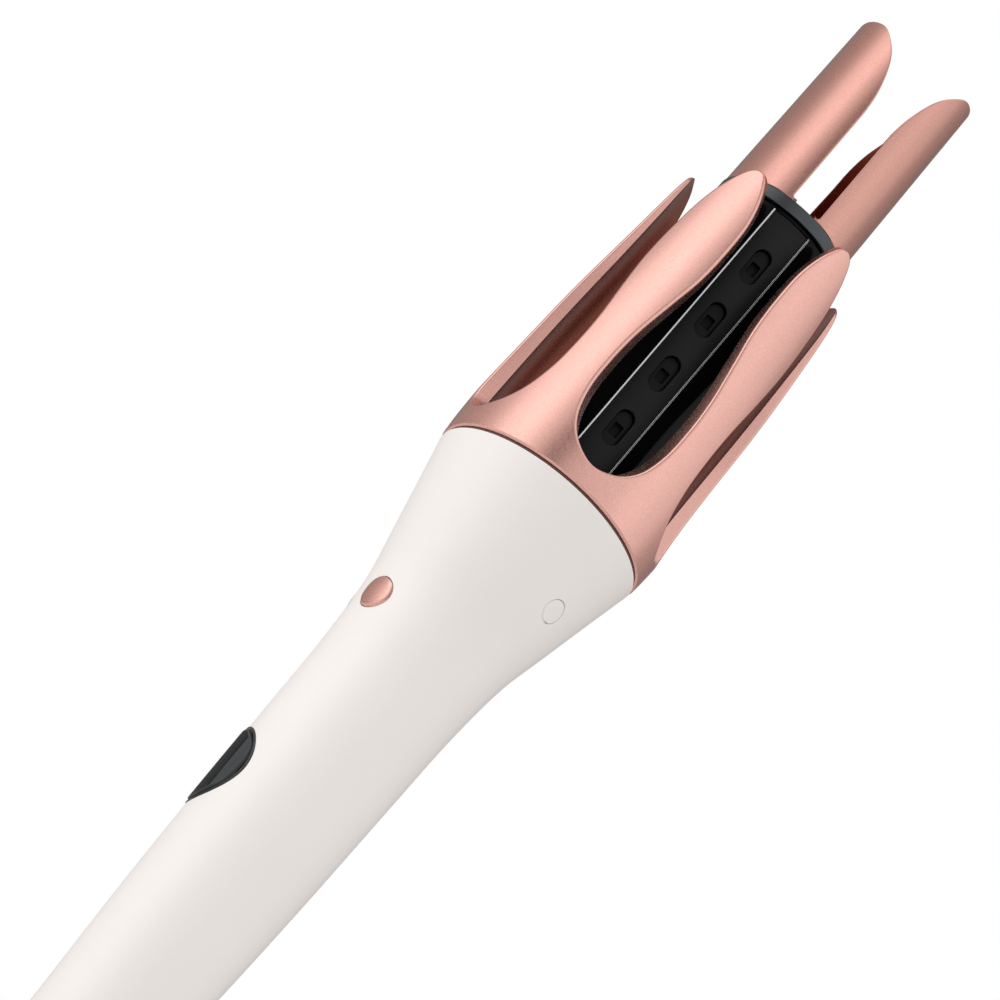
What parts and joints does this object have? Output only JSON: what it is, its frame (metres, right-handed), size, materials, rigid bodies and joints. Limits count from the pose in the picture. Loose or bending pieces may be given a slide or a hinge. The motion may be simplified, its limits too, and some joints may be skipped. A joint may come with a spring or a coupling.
{
  "type": "automatic hair curler",
  "caption": "Automatic hair curler: a tapering white handle, a tulip-shaped rose gold heat guard and a turning vented barrel that ends in a slotted fork.",
  "frame": {"origin": "centre of the end cap's flat face, which the tool can stand on", "axes": "+Z along the tool towards the prong tips, -Y out through the front petal opening and the prong slot, -X the control side"},
  "size_m": [0.056, 0.0559, 0.3398],
  "materials": {
    "rose_metal": "satin rose gold metallic paint",
    "dark_gasket": "matt dark gasket",
    "black_plastic": "matt moulded",
    "black_ceramic": "glossy ceramic coat",
    "strip_black": "fine matt",
    "bright_trim": "bright line",
    "gunmetal": "satin dark metallic",
    "steel": "plated",
    "gear_nylon": "natural nylon",
    "bearing_plastic": "heat-proof polymer",
    "aluminium": "black anodised",
    "heater_ceramic": "ceramic, taken as plastic",
    "brass_metal": "machined",
    "handle_white": "soft-touch warm white",
    "grey_plastic": "moulded",
    "gloss_black": "glossy",
    "charcoal": "satin charcoal",
    "board_green": "lacquered board",
    "capacitor_blue": "sleeved",
    "fuse_glass": "clear"
  },
  "bodies": {
    "handle": {"petal_shell": "rose_metal", "seam_ring": "dark_gasket", "chamber_floor": "black_plastic", "heater_core": "aluminium", "heater_plates": "heater_ceramic", "thermal_fuse": "steel", "thermistor": "brass_metal", "core_stem": "bearing_plastic", "head_frame": "black_plastic", "lower_bearing": "bearing_plastic", "head_screws": "steel", "gear_case": "black_plastic", "gear_motor": "steel", "motor_screws": "steel", "handle_shell": "handle_white", "handle_screws": "steel", "screw_caps": "handle_white", "end_cap": "handle_white", "swivel_retainer": "grey_plastic", "rocker_cup": "gloss_black", "rocker_pin": "steel", "inner_frame": "grey_plastic", "frame_screws": "steel", "control_board": "board_green", "tact_switches": "black_plastic", "power_board": "board_green", "smoothing_capacitor": "capacitor_blue", "supply_block": "black_plastic", "mains_fuse": "fuse_glass"},
    "barrel": {"barrel_sleeve": "black_ceramic", "vent_strip_front": "strip_black", "vent_strip_back": "strip_black", "edge_trims": "bright_trim", "collar": "gunmetal", "prong_carrier": "black_plastic", "prong_right": "rose_metal", "prong_left": "rose_metal", "prong_screws": "steel", "barrel_hub": "black_plastic", "thrust_ring": "steel", "ring_gear": "gear_nylon", "upper_bearing": "bearing_plastic"},
    "pinion": {"drive_pinion": "brass_metal"},
    "power_button": {"power_button": "rose_metal"},
    "heat_button": {"heat_button": "rose_metal"},
    "rocker": {"direction_rocker": "charcoal"},
    "swivel": {"cord_swivel": "grey_plastic"}
  },
  "joints": [
    {"name": "barrel_spin", "type": "hinge", "parent": "handle", "child": "barrel", "pos_m": [0, 0, 0.195], "axis": [0, 0, 1], "continuous": true},
    {"name": "pinion_spin", "type": "hinge", "parent": "handle", "child": "pinion", "pos_m": [0.0128, 0, 0.186], "axis": [0, 0, 1], "continuous": true},
    {"name": "power_press", "type": "slide", "parent": "handle", "child": "power_button", "axis": [1, 0, 0], "range_m": [0, 0.0005], "stiffness_N_per_m": 1500, "springref_m": -0.0005},
    {"name": "heat_press", "type": "slide", "parent": "handle", "child": "heat_button", "axis": [1, 0, 0], "range_m": [0, 0.0005], "stiffness_N_per_m": 1500, "springref_m": -0.0005},
    {"name": "direction_tilt", "type": "hinge", "parent": "handle", "child": "rocker", "pos_m": [-0.0124, 0, 0.1013], "axis": [0, 0, 1], "range_deg": [-3, 3], "stiffness_Nm_per_rad": 0.3},
    {"name": "cord_turn", "type": "hinge", "parent": "handle", "child": "swivel", "pos_m": [0, 0, 0.005], "axis": [0, 0, 1], "continuous": true}
  ],
  "couplings": [
    {"joint": "pinion_spin", "follows": "barrel_spin", "ratio": 3.6667}
  ]
}
